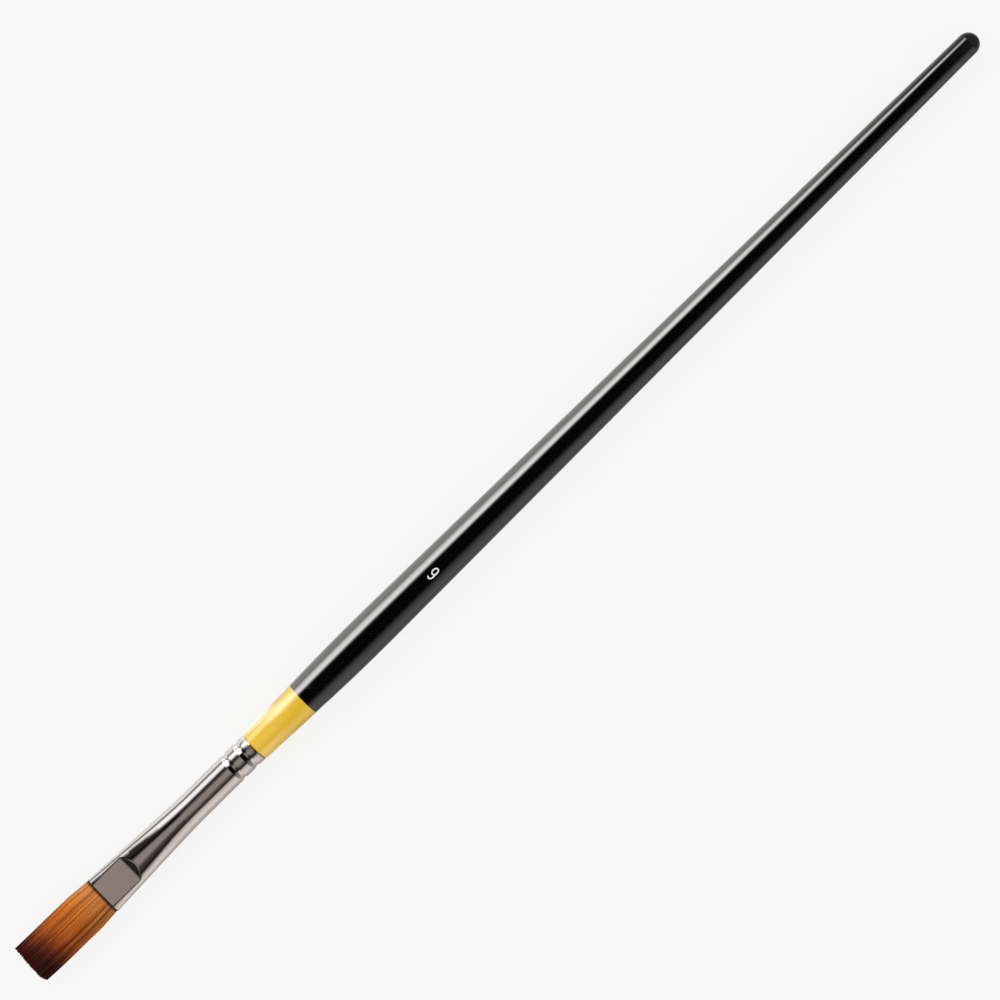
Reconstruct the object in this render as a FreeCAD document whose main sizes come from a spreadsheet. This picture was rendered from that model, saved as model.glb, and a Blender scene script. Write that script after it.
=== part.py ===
"""A flat artist's paint brush with a long handle, as a parametric FreeCAD document.

The pieces, from the working end to the tail: a flat tuft of synthetic filaments, the epoxy plug that
sets their butts, a seamless plated tube pressed flat over the tuft and crimped twice over the handle
(the ferrule), a turned wooden handle with a tenon, and the yellow and black lacquer on that handle.

Every sketch is drawn in the brush's own frame: x runs along the axis from the ferrule's mouth (x = 0)
towards the tail, y goes across the flat of the tuft and z through its thickness. One placement, the
same on every piece, lays the brush on its belly with the middle of its length over the origin.
"""

import FreeCAD, Part
import math
import os
import Sketcher

# Driving dimensions, in millimetres and degrees: alias, value, what it is.
DIMENSIONS = [
    ("hair_length", 24.5, "filaments from the ferrule's mouth to their tips"),
    ("ferrule_length", 50.5, "ferrule from its mouth to its crimped end"),
    ("handle_length", 241.0, "lacquered handle from its shoulder to the tail"),
    ("wall", 0.35, "ferrule wall"),
    ("mouth_half_width", 5.15, "ferrule at its mouth, across the flat"),
    ("mouth_half_crown", 2.35, "ferrule at its mouth, through the oval before it is pressed"),
    ("barrel_radius", 3.9, "round barrel of the ferrule, outside"),
    ("neck_length", 30.0, "oval neck, from the mouth to the round barrel"),
    ("press_half_height", 1.75, "pressed flats, from the axis"),
    ("press_length", 9.3, "pressed flats, from the mouth to the crease"),
    ("press_angle", 30.0, "slope of the wall that the press leaves at the crease"),
    ("press_foot_round", 0.25, "hollow between a pressed flat and its sloping wall"),
    ("crease_round", 0.5, "rounding of the flats' sides and of the sloping wall's crest"),
    ("crimp_one", 6.7, "middle of the first crimp, from the crimped end"),
    ("crimp_two", 2.6, "middle of the second crimp, from the crimped end"),
    ("crimp_width", 2.0, "width of a crimp"),
    ("crimp_depth", 0.26, "depth of a crimp"),
    ("tenon_length", 19.5, "handle's tenon inside the ferrule"),
    ("tenon_fit", 0.04, "radial room between the tenon and the ferrule"),
    ("tenon_chamfer", 0.8, "chamfer on the tenon's front edge"),
    ("seat_gap", 0.05, "room between the ferrule's end and the lacquered shoulder"),
    ("shoulder_radius", 4.0, "lacquered handle at its shoulder"),
    ("shoulder_bevel", 0.3, "bevel on the shoulder's edge"),
    ("belly_radius", 4.95, "lacquered handle at its thickest"),
    ("belly_distance", 37.0, "thickest place of the handle, from the shoulder"),
    ("belly_bow", 480.0, "radius of the belly's long curve"),
    ("taper_angle", 0.62, "slope of the straight taper behind the belly"),
    ("coat", 0.2, "thickness of the lacquer"),
    ("band_length", 16.2, "yellow lacquer behind the shoulder"),
    ("root_length", 12.5, "filaments inside the ferrule"),
    ("plug_length", 6.0, "epoxy behind the filaments' butts"),
    ("root_fit", 0.05, "room between the ferrule's wall and what fills it"),
    ("mouth_draw", 0.12, "how far the bore draws the free filaments in at the mouth"),
    ("splay_length", 2.0, "from the mouth to where the filaments have spread"),
    ("splay_half_width", 5.25, "spread filaments, across the flat"),
    ("splay_half_height", 1.5, "spread filaments, through the thickness"),
    ("swell", 0.2, "how far the free tuft swells half way along, across the flat"),
    ("tip_half_width", 5.35, "tuft at its tips, across the flat"),
    ("tip_half_height", 0.5, "tuft at its chiselled tips, through the thickness"),
]

# Places along the axis that several pieces share, in terms of the dimensions.
SHOULDER = "(dims.ferrule_length + dims.seat_gap)"
TAIL = f"({SHOULDER} + dims.handle_length)"
MIDDLE = f"(({TAIL} - dims.hair_length) / 2)"
BAND_END = f"({SHOULDER} + dims.band_length)"
CRIMP_ONE = "(dims.ferrule_length - dims.crimp_one)"
CRIMP_TWO = "(dims.ferrule_length - dims.crimp_two)"
BORE_INSET = "dims.wall"
FILLING_INSET = "(dims.wall + dims.root_fit)"
TENON_RADIUS = "(dims.barrel_radius - dims.wall - dims.tenon_fit)"
CLEAR = "(4 * dims.belly_radius)"  # reaches past the whole brush from its axis

NECK_SHARES = [0.0, 0.4, 0.5, 0.6, 0.7, 0.8, 0.9, 1.0]  # where the neck's sections stand, of its length
TUFT_STEPS = 9  # stretches of the free tuft between its sections
ORIGIN_POINT = (-1, 1)
AXIS_LINE = -1
UP_LINE = -2

doc = FreeCAD.newDocument("paint_brush")
sheet = doc.addObject("Spreadsheet::Sheet", "dims")
for row, (alias, value, meaning) in enumerate(DIMENSIONS, start=1):
    sheet.set(f"A{row}", meaning)
    sheet.set(f"B{row}", str(value))
    sheet.setAlias(f"B{row}", alias)
doc.recompute()


def number(expression):
    """What an expression of the dimensions comes to now, for drawing a sketch near its solution."""
    return float(sheet.evalExpression(expression))


# ---------------------------------------------------------------------------------------------------
# Sketching
# ---------------------------------------------------------------------------------------------------

def lay_down(solid, along="0", across="0", up="0"):
    """Rest the brush on its belly, flat of the tuft level, with the middle of its length over the origin."""
    solid.setExpression("Placement.Base.x", f"{along} - {MIDDLE}")
    solid.setExpression("Placement.Base.y", across)
    solid.setExpression("Placement.Base.z", f"{up} + dims.belly_radius")


def new_body(name):
    """A PartDesign body that is drawn in the brush's own frame and laid down with the rest."""
    body = doc.addObject("PartDesign::Body", name)
    lay_down(body)
    return body


def new_sketch(body, name, role, offset=None):
    """A sketch on one of its body's origin planes, moved along that plane's normal by an expression."""
    sketch = body.newObject("Sketcher::SketchObject", name)
    plane = [feature for feature in body.Origin.OriginFeatures if feature.Role == role][0]
    sketch.AttachmentSupport = (plane, "")
    sketch.MapMode = "FlatFace"
    if offset is not None:
        sketch.setExpression("AttachmentOffset.Base.z", offset)
    return sketch


def drive(sketch, kind, references, expression):
    """A dimension of a sketch that follows the sheet."""
    index = sketch.addConstraint(Sketcher.Constraint(kind, *references, number(expression)))
    sketch.setExpression(f"Constraints[{index}]", expression)


def locate(sketch, edge, point, across, up):
    """Hold one point of a sketch at two expressions; None keeps it on the sketch's own axis."""
    for kind, expression, axis in (("DistanceX", across, UP_LINE), ("DistanceY", up, AXIS_LINE)):
        if expression is None:
            sketch.addConstraint(Sketcher.Constraint("PointOnObject", edge, point, axis))
        else:
            drive(sketch, kind, (*ORIGIN_POINT, edge, point), expression)


def arc_through(start, end, radius):
    """An arc between two points: a positive radius bulges to the left of the way from start to end."""
    chord = end - start
    sagitta = abs(radius) - math.sqrt(radius ** 2 - (chord.Length / 2) ** 2)
    left = FreeCAD.Vector(-chord.y, chord.x, 0).normalize()
    crown = (start + end) / 2 + left * math.copysign(sagitta, radius)
    return Part.Arc(start, crown, end)


def draw_outline(sketch, corners):
    """A closed outline. Each corner is (across, up, radius of the edge to the next corner or None)."""
    points = []
    for across, up, _ in corners:
        points.append(FreeCAD.Vector(number(across or "0"), number(up or "0"), 0))
    ends = []
    for index, (_, _, radius) in enumerate(corners):
        start = points[index]
        end = points[(index + 1) % len(points)]
        if radius is None:
            edge = sketch.addGeometry(Part.LineSegment(start, end), False)
            ends.append((edge, 1, 2))
            continue
        arc = arc_through(start, end, number(radius))
        edge = sketch.addGeometry(arc, False)
        # The sketcher keeps every arc counter-clockwise, and a left bulge runs clockwise.
        ends.append((edge, 2, 1) if number(radius) > 0 else (edge, 1, 2))
        drive(sketch, "Radius", (edge,), f"abs({radius})")
    for index, (edge, _, last) in enumerate(ends):
        following, first, _ = ends[(index + 1) % len(ends)]
        sketch.addConstraint(Sketcher.Constraint("Coincident", edge, last, following, first))
    for (edge, first, _), (across, up, _) in zip(ends, corners):
        locate(sketch, edge, first, across, up)


def revolve(body, name, sketch):
    """Turn an outline about the brush's axis."""
    feature = body.newObject("PartDesign::Revolution", name)
    feature.Profile = sketch
    feature.ReferenceAxis = (sketch, ["H_Axis"])
    feature.Angle = 360
    return feature


def loft(body, name, sections):
    """A solid through sections that stand along the axis, with straight sides from each to the next."""
    feature = body.newObject("PartDesign::AdditiveLoft", name)
    feature.Profile = sections[0]
    feature.Sections = sections[1:]
    feature.Ruled = True
    return feature


def round_edges(body, name, base, radius, chosen):
    """Fillet the edges of a body's last feature that a test picks out."""
    doc.recompute()
    edges = [f"Edge{index}" for index, edge in enumerate(base.Shape.Edges, start=1) if chosen(edge)]
    fillet = body.newObject("PartDesign::Fillet", name)
    fillet.Base = (base, edges)
    fillet.setExpression("Radius", radius)
    return fillet


# ---------------------------------------------------------------------------------------------------
# The formed tube: oval at the mouth, round at the handle, pressed flat and crimped
# ---------------------------------------------------------------------------------------------------

def quarter_arc(sketch, quarter, half_width, half_crown, is_round):
    """One quarter of an oval or a circle about the sketch's origin, counted from its right end."""
    center = FreeCAD.Vector()
    start = quarter * math.pi / 2
    end = start + math.pi / 2
    if is_round:
        circle = Part.Circle(center, FreeCAD.Vector(0, 0, 1), number(half_width))
        edge = sketch.addGeometry(Part.ArcOfCircle(circle, start, end), False)
        drive(sketch, "Radius", (edge,), half_width)
    else:
        oval = Part.Ellipse(center, number(half_width), number(half_crown))
        edge = sketch.addGeometry(Part.ArcOfEllipse(oval, start, end), False)
        sketch.exposeInternalGeometry(edge)
        long_axis = edge + 1
        short_axis = edge + 2
        sketch.addConstraint(Sketcher.Constraint("Horizontal", long_axis))
        drive(sketch, "Distance", (long_axis,), f"2 * {half_width}")
        drive(sketch, "Distance", (short_axis,), f"2 * {half_crown}")
    sketch.addConstraint(Sketcher.Constraint("Coincident", edge, 3, *ORIGIN_POINT))
    ends_on = (AXIS_LINE, UP_LINE) if quarter % 2 == 0 else (UP_LINE, AXIS_LINE)
    for point, line in enumerate(ends_on, start=1):
        sketch.addConstraint(Sketcher.Constraint("PointOnObject", edge, point, line))


def oval_section(body, name, share, inset):
    """One section of the neck: an oval that grows rounder and smaller towards the barrel."""
    sketch = new_sketch(body, name, "YZ_Plane", f"{share} * dims.neck_length")
    ease = 3 * share ** 2 - 2 * share ** 3
    flare = (1 - share) ** 1.2
    widening = f"{flare:.4f} * (dims.mouth_half_width - dims.barrel_radius)"
    thickening = f"{ease:.4f} * (dims.barrel_radius - dims.mouth_half_crown)"
    half_width = f"(dims.barrel_radius + {widening} - {inset})"
    half_crown = f"(dims.mouth_half_crown + {thickening} - {inset})"
    for quarter in range(4):
        quarter_arc(sketch, quarter, half_width, half_crown, is_round=share == 1.0)
    return sketch


def rolled_crimp(middle, radius):
    """A crimp in the outer face: over a shoulder, through the groove and back over a shoulder."""
    roll = "((dims.crimp_width ^ 2 / 4 + dims.crimp_depth ^ 2) / (4 * dims.crimp_depth))"
    return [
        (f"{middle} - dims.crimp_width / 2", radius, roll),
        (f"{middle} - dims.crimp_width / 4", f"{radius} - dims.crimp_depth / 2", f"-{roll}"),
        (f"{middle} + dims.crimp_width / 4", f"{radius} - dims.crimp_depth / 2", roll),
        (f"{middle} + dims.crimp_width / 2", radius, None),
    ]


def bitten_crimp(middle, radius):
    """The same crimp where it has bitten into what lies inside: one hollow curve."""
    hollow = "((dims.crimp_width ^ 2 / 4 + dims.crimp_depth ^ 2) / (2 * dims.crimp_depth))"
    return [
        (f"{middle} - dims.crimp_width / 2", radius, f"-{hollow}"),
        (f"{middle} + dims.crimp_width / 2", radius, None),
    ]


def crimped_corners(start, end, radius, crimp):
    """A round outline along the axis, of this radius, with both crimps in it."""
    return [
        (start, None, None),
        (start, radius, None),
        *crimp(CRIMP_ONE, radius),
        *crimp(CRIMP_TWO, radius),
        (end, radius, None),
        (end, None, None),
    ]


def press_flats(body, name, inset):
    """Cut away what the press flattens, on both faces, up to the sloping wall behind the flats."""
    top = new_sketch(body, f"{name}_sketch", "XZ_Plane")
    slope = "tan(dims.press_angle)"
    crown = "2 * dims.barrel_radius"
    foot = f"(dims.press_foot_round + {inset}) * tan(dims.press_angle / 2)"
    corner = f"(dims.press_length + {inset} * tan(dims.press_angle / 2))"
    flat = f"(dims.press_half_height - {inset})"
    draw_outline(top, [
        ("-dims.wall", flat, None),
        (f"{corner} - {foot}", flat, f"-(dims.press_foot_round + {inset})"),
        (f"{corner} + {foot} * cos(dims.press_angle)", f"{flat} + {foot} * sin(dims.press_angle)", None),
        (f"{corner} + ({crown} - {flat}) / {slope}", crown, None),
        ("-dims.wall", crown, None),
    ])
    pocket = body.newObject("PartDesign::Pocket", name)
    pocket.Profile = top
    pocket.Midplane = True
    pocket.setExpression("Length", "4 * dims.mouth_half_width")
    mirror = body.newObject("PartDesign::Mirrored", f"{name}_below")
    mirror.Originals = [pocket]
    plane = [feature for feature in body.Origin.OriginFeatures if feature.Role == "XY_Plane"][0]
    mirror.MirrorPlane = (plane, [""])
    body.Tip = mirror
    return mirror


def formed_solid(name, inset, crimp):
    """The space inside the ferrule's outer face, drawn in by an inset."""
    body = new_body(name)
    loft(body, f"{name}_neck", [
        oval_section(body, f"{name}_oval_{index}", share, inset) for index, share in enumerate(NECK_SHARES)
    ])
    barrel = new_sketch(body, f"{name}_barrel_outline", "XY_Plane")
    radius = f"(dims.barrel_radius - {inset})"
    draw_outline(barrel, crimped_corners("dims.neck_length", "dims.ferrule_length", radius, crimp))
    revolve(body, f"{name}_barrel", barrel)
    press_flats(body, f"{name}_press", inset)
    return body


def make_ferrule():
    """A seamless tube: the formed outside with its creases rounded, less the formed bore."""
    outside = formed_solid("ferrule_outside", "0", rolled_crimp)
    press = outside.Tip

    def is_creased(edge):
        along_neck = edge.BoundBox.XMax < number("dims.neck_length") / 2
        return along_neck and isinstance(edge.Curve, Part.BSplineCurve)

    round_edges(outside, "crease_fillet", press, "dims.crease_round", is_creased)
    bore = formed_solid("ferrule_bore", BORE_INSET, bitten_crimp)
    ferrule = doc.addObject("Part::Cut", "ferrule")
    ferrule.Base = outside
    ferrule.Tool = bore
    return ferrule


def slab(name, start, length):
    """A block across the whole brush, between two places on its axis."""
    block = doc.addObject("Part::Box", name)
    block.setExpression("Length", length)
    block.setExpression("Width", f"2 * {CLEAR}")
    block.setExpression("Height", f"2 * {CLEAR}")
    lay_down(block, start, f"-{CLEAR}", f"-{CLEAR}")
    return block


def part_of(name, whole, zone):
    """What a solid has inside a zone."""
    common = doc.addObject("Part::Common", name)
    common.Base = whole
    common.Tool = zone
    return common


# ---------------------------------------------------------------------------------------------------
# The tuft and the resin that holds it
# ---------------------------------------------------------------------------------------------------

def tuft_section(body, name, offset, half_width, half_height):
    """A flat section with round sides."""
    sketch = new_sketch(body, name, "YZ_Plane", offset)
    side = number(f"{half_width} - {half_height}")
    radius = number(half_height)
    up = FreeCAD.Vector(0, radius, 0)
    far = FreeCAD.Vector(side + radius, 0, 0)
    right = FreeCAD.Vector(side, 0, 0)
    left = -right
    top = sketch.addGeometry(Part.LineSegment(left + up, right + up), False)
    right_side = sketch.addGeometry(Part.Arc(right - up, far, right + up), False)
    bottom = sketch.addGeometry(Part.LineSegment(right - up, left - up), False)
    left_side = sketch.addGeometry(Part.Arc(left + up, -far, left - up), False)
    sketch.addConstraint([
        Sketcher.Constraint("Tangent", top, 2, right_side, 2),
        Sketcher.Constraint("Tangent", right_side, 1, bottom, 1),
        Sketcher.Constraint("Tangent", bottom, 2, left_side, 2),
        Sketcher.Constraint("Tangent", left_side, 1, top, 1),
        Sketcher.Constraint("PointOnObject", right_side, 3, AXIS_LINE),
        Sketcher.Constraint("Horizontal", top),
        Sketcher.Constraint("Symmetric", right_side, 3, left_side, 3, *ORIGIN_POINT),
    ])
    drive(sketch, "Radius", (right_side,), half_height)
    drive(sketch, "DistanceX", (*ORIGIN_POINT, right_side, 3), f"{half_width} - {half_height}")
    return sketch


def make_tuft(filling):
    """Filaments: the roots as the ferrule squeezes them, then a spread, a slight swell and a chisel."""
    free_part = new_body("free_filaments")
    mouth_half_width = f"(dims.mouth_half_width - {FILLING_INSET} - dims.mouth_draw)"
    mouth_half_height = f"(dims.press_half_height - {FILLING_INSET} - dims.mouth_draw)"
    mouth = tuft_section(free_part, "tuft_mouth", "0", mouth_half_width, mouth_half_height)
    sections = [mouth]
    for step in range(TUFT_STEPS + 1):
        share = step / TUFT_STEPS
        growth = f"{share:.4f} * (dims.tip_half_width - dims.splay_half_width)"
        chisel = f"{share ** 2:.4f} * (dims.splay_half_height - dims.tip_half_height)"
        sections.append(tuft_section(
            free_part, f"tuft_section_{step}",
            f"-dims.splay_length - {share:.4f} * (dims.hair_length - dims.splay_length)",
            f"(dims.splay_half_width + {growth} + {4 * share * (1 - share):.4f} * dims.swell)",
            f"(dims.splay_half_height - {chisel})",
        ))
    loft(free_part, "free_tuft", sections)
    roots = part_of("tuft_roots", filling, slab("root_zone", "0", "dims.root_length"))
    tuft = doc.addObject("Part::Fuse", "filament_tuft")
    tuft.Base = free_part
    tuft.Tool = roots
    return tuft


def make_plug(filling):
    """Set resin, the shape of the bore, against the filaments' butts."""
    return part_of("epoxy_plug", filling, slab("plug_zone", "dims.root_length", "dims.plug_length"))


# ---------------------------------------------------------------------------------------------------
# The turned handle and its lacquer
# ---------------------------------------------------------------------------------------------------

def turned_outline(sketch, inset):
    """Bevelled shoulder, straight rise, belly curve, straight taper and round end, drawn in by an inset."""
    shoulder = number(f"{SHOULDER} + {inset}")
    shoulder_radius = number(f"dims.shoulder_radius - {inset}")
    bevel = number("dims.shoulder_bevel")
    tail = number(f"{TAIL} - {inset}")
    bow = number(f"dims.belly_bow - {inset}")
    bow_center = FreeCAD.Vector(
        number(f"{SHOULDER} + dims.belly_distance"), number("dims.belly_radius - dims.belly_bow"), 0)
    slope = math.radians(number("dims.taper_angle"))

    # The rise touches the belly curve, and the taper leaves it straight on and meets the round end.
    front = FreeCAD.Vector(shoulder + bevel, shoulder_radius, 0)
    apart = bow_center - front
    rise_slope = math.atan2(apart.y, apart.x) + math.asin(bow / apart.Length)
    rise_end = bow_center + FreeCAD.Vector(-math.sin(rise_slope), math.cos(rise_slope), 0) * bow
    taper_normal = FreeCAD.Vector(math.sin(slope), math.cos(slope), 0)
    taper_start = bow_center + taper_normal * bow
    height_at_tail = taper_start.y - (tail - taper_start.x) * math.tan(slope)
    tail_radius = height_at_tail * math.cos(slope) / (1 - math.sin(slope))
    dome = FreeCAD.Vector(tail - tail_radius, 0, 0)
    taper_end = dome + taper_normal * tail_radius
    dome_crown = dome + FreeCAD.Vector(1, 1, 0).normalize() * tail_radius
    bow_crown = bow_center + FreeCAD.Vector(0, bow, 0)

    low_edge = FreeCAD.Vector(shoulder, shoulder_radius - bevel, 0)
    tail_point = FreeCAD.Vector(tail, 0, 0)
    axis_front = FreeCAD.Vector(shoulder, 0, 0)
    face = sketch.addGeometry(Part.LineSegment(axis_front, low_edge), False)
    bevelled = sketch.addGeometry(Part.LineSegment(low_edge, front), False)
    rise = sketch.addGeometry(Part.LineSegment(front, rise_end), False)
    belly = sketch.addGeometry(Part.Arc(rise_end, bow_crown, taper_start), False)
    taper = sketch.addGeometry(Part.LineSegment(taper_start, taper_end), False)
    round_end = sketch.addGeometry(Part.Arc(taper_end, dome_crown, tail_point), False)
    axis = sketch.addGeometry(Part.LineSegment(tail_point, axis_front), False)

    # Both arcs run clockwise along the outline, so each begins at its second point.
    sketch.addConstraint([
        Sketcher.Constraint("Coincident", face, 2, bevelled, 1),
        Sketcher.Constraint("Coincident", bevelled, 2, rise, 1),
        Sketcher.Constraint("Tangent", rise, 2, belly, 2),
        Sketcher.Constraint("Tangent", belly, 1, taper, 1),
        Sketcher.Constraint("Tangent", taper, 2, round_end, 2),
        Sketcher.Constraint("Coincident", round_end, 1, axis, 1),
        Sketcher.Constraint("Coincident", axis, 2, face, 1),
        Sketcher.Constraint("PointOnObject", round_end, 3, AXIS_LINE),
    ])
    locate(sketch, face, 1, f"{SHOULDER} + {inset}", None)
    locate(sketch, face, 2, f"{SHOULDER} + {inset}", f"dims.shoulder_radius - {inset} - dims.shoulder_bevel")
    locate(sketch, rise, 1, f"{SHOULDER} + {inset} + dims.shoulder_bevel", f"dims.shoulder_radius - {inset}")
    locate(sketch, belly, 3, f"{SHOULDER} + dims.belly_distance", "dims.belly_radius - dims.belly_bow")
    drive(sketch, "Radius", (belly,), f"dims.belly_bow - {inset}")
    drive(sketch, "Angle", (AXIS_LINE, 1, taper, 1), "-dims.taper_angle")
    locate(sketch, round_end, 1, f"{TAIL} - {inset}", None)


def turned_body(name, inset):
    """The turned form of the handle, drawn in by an inset."""
    body = new_body(name)
    outline = new_sketch(body, f"{name}_outline", "XY_Plane")
    turned_outline(outline, inset)
    revolve(body, f"{name}_turning", outline)
    return body


def make_handle():
    """The wooden blank: a turned handle with a chamfered tenon that the crimps bite into."""
    blank = turned_body("wooden_handle", "dims.coat")
    tenon = new_sketch(blank, "tenon_outline", "XY_Plane")
    front = "(dims.ferrule_length - dims.tenon_length)"
    corners = crimped_corners(front, f"{SHOULDER} + 2 * dims.coat", TENON_RADIUS, bitten_crimp)
    corners[1:2] = [
        (front, f"{TENON_RADIUS} - dims.tenon_chamfer", None),
        (f"{front} + dims.tenon_chamfer", TENON_RADIUS, None),
    ]
    draw_outline(tenon, corners)
    revolve(blank, "tenon", tenon)
    return blank


def make_lacquers(handle):
    """Two coats that meet on one line: what the dipped form has outside the wood."""
    dipped = turned_body("dipped_form", "0")
    coats = doc.addObject("Part::Cut", "coats")
    coats.Base = dipped
    coats.Tool = handle
    band_zone = slab("band_zone", "0", BAND_END)
    rest_zone = slab("rest_zone", BAND_END, "dims.handle_length")
    return part_of("yellow_band", coats, band_zone), part_of("black_lacquer", coats, rest_zone)


def build():
    """Every sub-part by the name of its node."""
    filling = formed_solid("bore_filling", FILLING_INSET, bitten_crimp)
    handle = make_handle()
    yellow_band, black_lacquer = make_lacquers(handle)
    return {
        "filament_tuft": make_tuft(filling),
        "epoxy_plug": make_plug(filling),
        "ferrule": make_ferrule(),
        "wooden_handle": handle,
        "yellow_band": yellow_band,
        "black_lacquer": black_lacquer,
    }


def check(pieces):
    """Stop if any object failed, or if a piece isn't one valid solid."""
    for item in doc.Objects:
        if {"Invalid", "Error"} & set(item.State):
            raise RuntimeError(f"{item.Name} failed: {item.State}")
    for name, piece in pieces.items():
        shape = piece.Shape
        if shape.isNull() or not shape.isValid() or len(shape.Solids) != 1:
            raise RuntimeError(f"{name} isn't one valid solid")


pieces = build()
doc.recompute()
for name, piece in pieces.items():
    piece.Label = name
doc.recompute()
check(pieces)
os.makedirs("parts", exist_ok=True)
for name, piece in pieces.items():
    piece.Shape.exportStep(f"parts/{name}.step")
    box = piece.Shape.BoundBox
    print(f"{name:15s} {piece.Shape.Volume:10.2f} mm3  x {box.XMin:8.2f} {box.XMax:8.2f}"
          f"  y {box.YMin:6.2f} {box.YMax:6.2f}  z {box.ZMin:6.2f} {box.ZMax:6.2f}")
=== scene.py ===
"""Looks for a flat artist's paint brush: dyed filaments, a nickel ferrule and a lacquered handle.

x runs along the brush from the tips of the filaments (low x) to the tail, y across the flat of the
tuft, and z up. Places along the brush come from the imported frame's own boxes, in metres.
"""

import math
import random

import bpy
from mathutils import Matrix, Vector


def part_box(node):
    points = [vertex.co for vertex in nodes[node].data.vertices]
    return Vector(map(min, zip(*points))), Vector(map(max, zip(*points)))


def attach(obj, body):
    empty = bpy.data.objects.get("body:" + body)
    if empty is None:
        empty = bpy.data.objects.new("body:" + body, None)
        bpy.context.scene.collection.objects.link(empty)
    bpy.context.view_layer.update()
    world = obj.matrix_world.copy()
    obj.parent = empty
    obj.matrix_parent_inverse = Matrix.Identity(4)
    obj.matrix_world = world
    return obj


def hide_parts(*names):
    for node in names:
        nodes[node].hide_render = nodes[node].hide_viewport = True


MM = 0.001

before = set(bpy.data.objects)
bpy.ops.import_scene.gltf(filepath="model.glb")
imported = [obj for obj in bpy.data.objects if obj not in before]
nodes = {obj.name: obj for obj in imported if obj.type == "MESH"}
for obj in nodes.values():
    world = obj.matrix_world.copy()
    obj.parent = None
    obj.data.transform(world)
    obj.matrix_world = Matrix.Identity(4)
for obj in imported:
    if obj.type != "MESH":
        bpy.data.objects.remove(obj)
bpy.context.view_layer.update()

FERRULE_LOW, FERRULE_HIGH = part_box("ferrule")
BAND_LOW, BAND_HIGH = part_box("yellow_band")
HANDLE_LOW, HANDLE_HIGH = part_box("black_lacquer")
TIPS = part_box("filament_tuft")[0].x
MOUTH = FERRULE_LOW.x
AXIS_HEIGHT = (HANDLE_LOW.z + HANDLE_HIGH.z) / 2


# ---------------------------------------------------------------------------------------------------
# Node and mesh helpers
# ---------------------------------------------------------------------------------------------------

class Paint:
    """A material under construction: its node tree, its shader and short ways to add nodes."""

    def __init__(self, name, **values):
        self.material = bpy.data.materials.new(name)
        self.material.use_nodes = True
        self.tree = self.material.node_tree
        self.shader = self.tree.nodes["Principled BSDF"]
        for socket, value in values.items():
            self.shader.inputs[socket.replace("_", " ")].default_value = value

    def add(self, kind, **settings):
        """A new node; a setting that names a socket fills or links it, any other is a property."""
        item = self.tree.nodes.new(kind)
        for key, value in settings.items():
            socket = next((s for s in item.inputs if s.name.replace(" ", "_") == key), None)
            if socket is None:
                setattr(item, key, value)
            else:
                self.feed(socket, value)
        return item

    def feed(self, socket, value):
        """Link an output into a socket, or set its plain value."""
        if isinstance(value, bpy.types.NodeSocket):
            self.tree.links.new(value, socket)
        else:
            socket.default_value = value

    def ramp(self, factor, *stops):
        """A colour ramp through (position, colour) stops."""
        item = self.add("ShaderNodeValToRGB")
        elements = item.color_ramp.elements
        while len(elements) < len(stops):
            elements.new(0.5)
        for element, (position, color) in zip(elements, stops):
            element.position = position
            element.color = color
        self.feed(item.inputs["Fac"], factor)
        return item.outputs["Color"]

    def span(self, value, low, high, to_low, to_high):
        """A value mapped from one range to another, held at the ends."""
        item = self.add("ShaderNodeMapRange", Value=value)
        item.inputs["From Min"].default_value = low
        item.inputs["From Max"].default_value = high
        item.inputs["To Min"].default_value = to_low
        item.inputs["To Max"].default_value = to_high
        return item.outputs["Result"]

    def math(self, operation, *values):
        """A sum on plain numbers or outputs."""
        item = self.add("ShaderNodeMath", operation=operation)
        for socket, value in zip(item.inputs, values):
            self.feed(socket, value)
        return item.outputs[0]

    def mix(self, factor, first, second, blend="MIX"):
        """Two colours mixed, or blended in another way."""
        item = self.add("ShaderNodeMix", data_type="RGBA", blend_type=blend)
        self.feed(item.inputs["Factor"], factor)
        self.feed(item.inputs["A"], first)
        self.feed(item.inputs["B"], second)
        return item.outputs["Result"]

    def stretched(self, *per_metre):
        """Object coordinates, scaled on each axis."""
        place = self.add("ShaderNodeTexCoord").outputs["Object"]
        return self.add("ShaderNodeMapping", Vector=place, Scale=per_metre).outputs["Vector"]

    def axes(self):
        """Object coordinates in metres, as three separate numbers."""
        split = self.add("ShaderNodeSeparateXYZ", Vector=self.stretched(1, 1, 1))
        return [split.outputs[axis] for axis in "XYZ"]

    def noise(self, *per_metre, detail):
        """Soft variation from 0 to 1, with about this many features to the metre on each axis."""
        place = self.stretched(*per_metre)
        item = self.add("ShaderNodeTexNoise", Vector=place, Scale=1.0, Detail=detail, Roughness=0.5)
        return item.outputs["Fac"]

    def bump(self, height, strength, distance, under=None):
        """A normal for a relief, on top of another normal where one is given."""
        item = self.add("ShaderNodeBump", Height=height, Strength=strength, Distance=distance)
        if under is not None:
            self.feed(item.inputs["Normal"], under)
        return item.outputs["Normal"]

    def finish(self, **sockets):
        """Fill or link the shader's sockets, and hand over the material."""
        for socket, value in sockets.items():
            self.feed(self.shader.inputs[socket.replace("_", " ")], value)
        return self.material


class Glow(Paint):
    """A material that only gives light."""

    def __init__(self, name, strength):
        self.material = bpy.data.materials.new(name)
        self.material.use_nodes = True
        self.material.cycles.emission_sampling = "NONE"
        self.tree = self.material.node_tree
        self.tree.nodes.remove(self.tree.nodes["Principled BSDF"])
        self.shader = self.add("ShaderNodeEmission", Strength=strength)
        output = self.tree.nodes["Material Output"]
        self.tree.links.new(self.shader.outputs[0], output.inputs["Surface"])


def rgb(red, green, blue):
    """An opaque colour, in linear light."""
    return (red, green, blue, 1.0)


def grey(value):
    """An opaque grey, in linear light."""
    return rgb(value, value, value)


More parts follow.
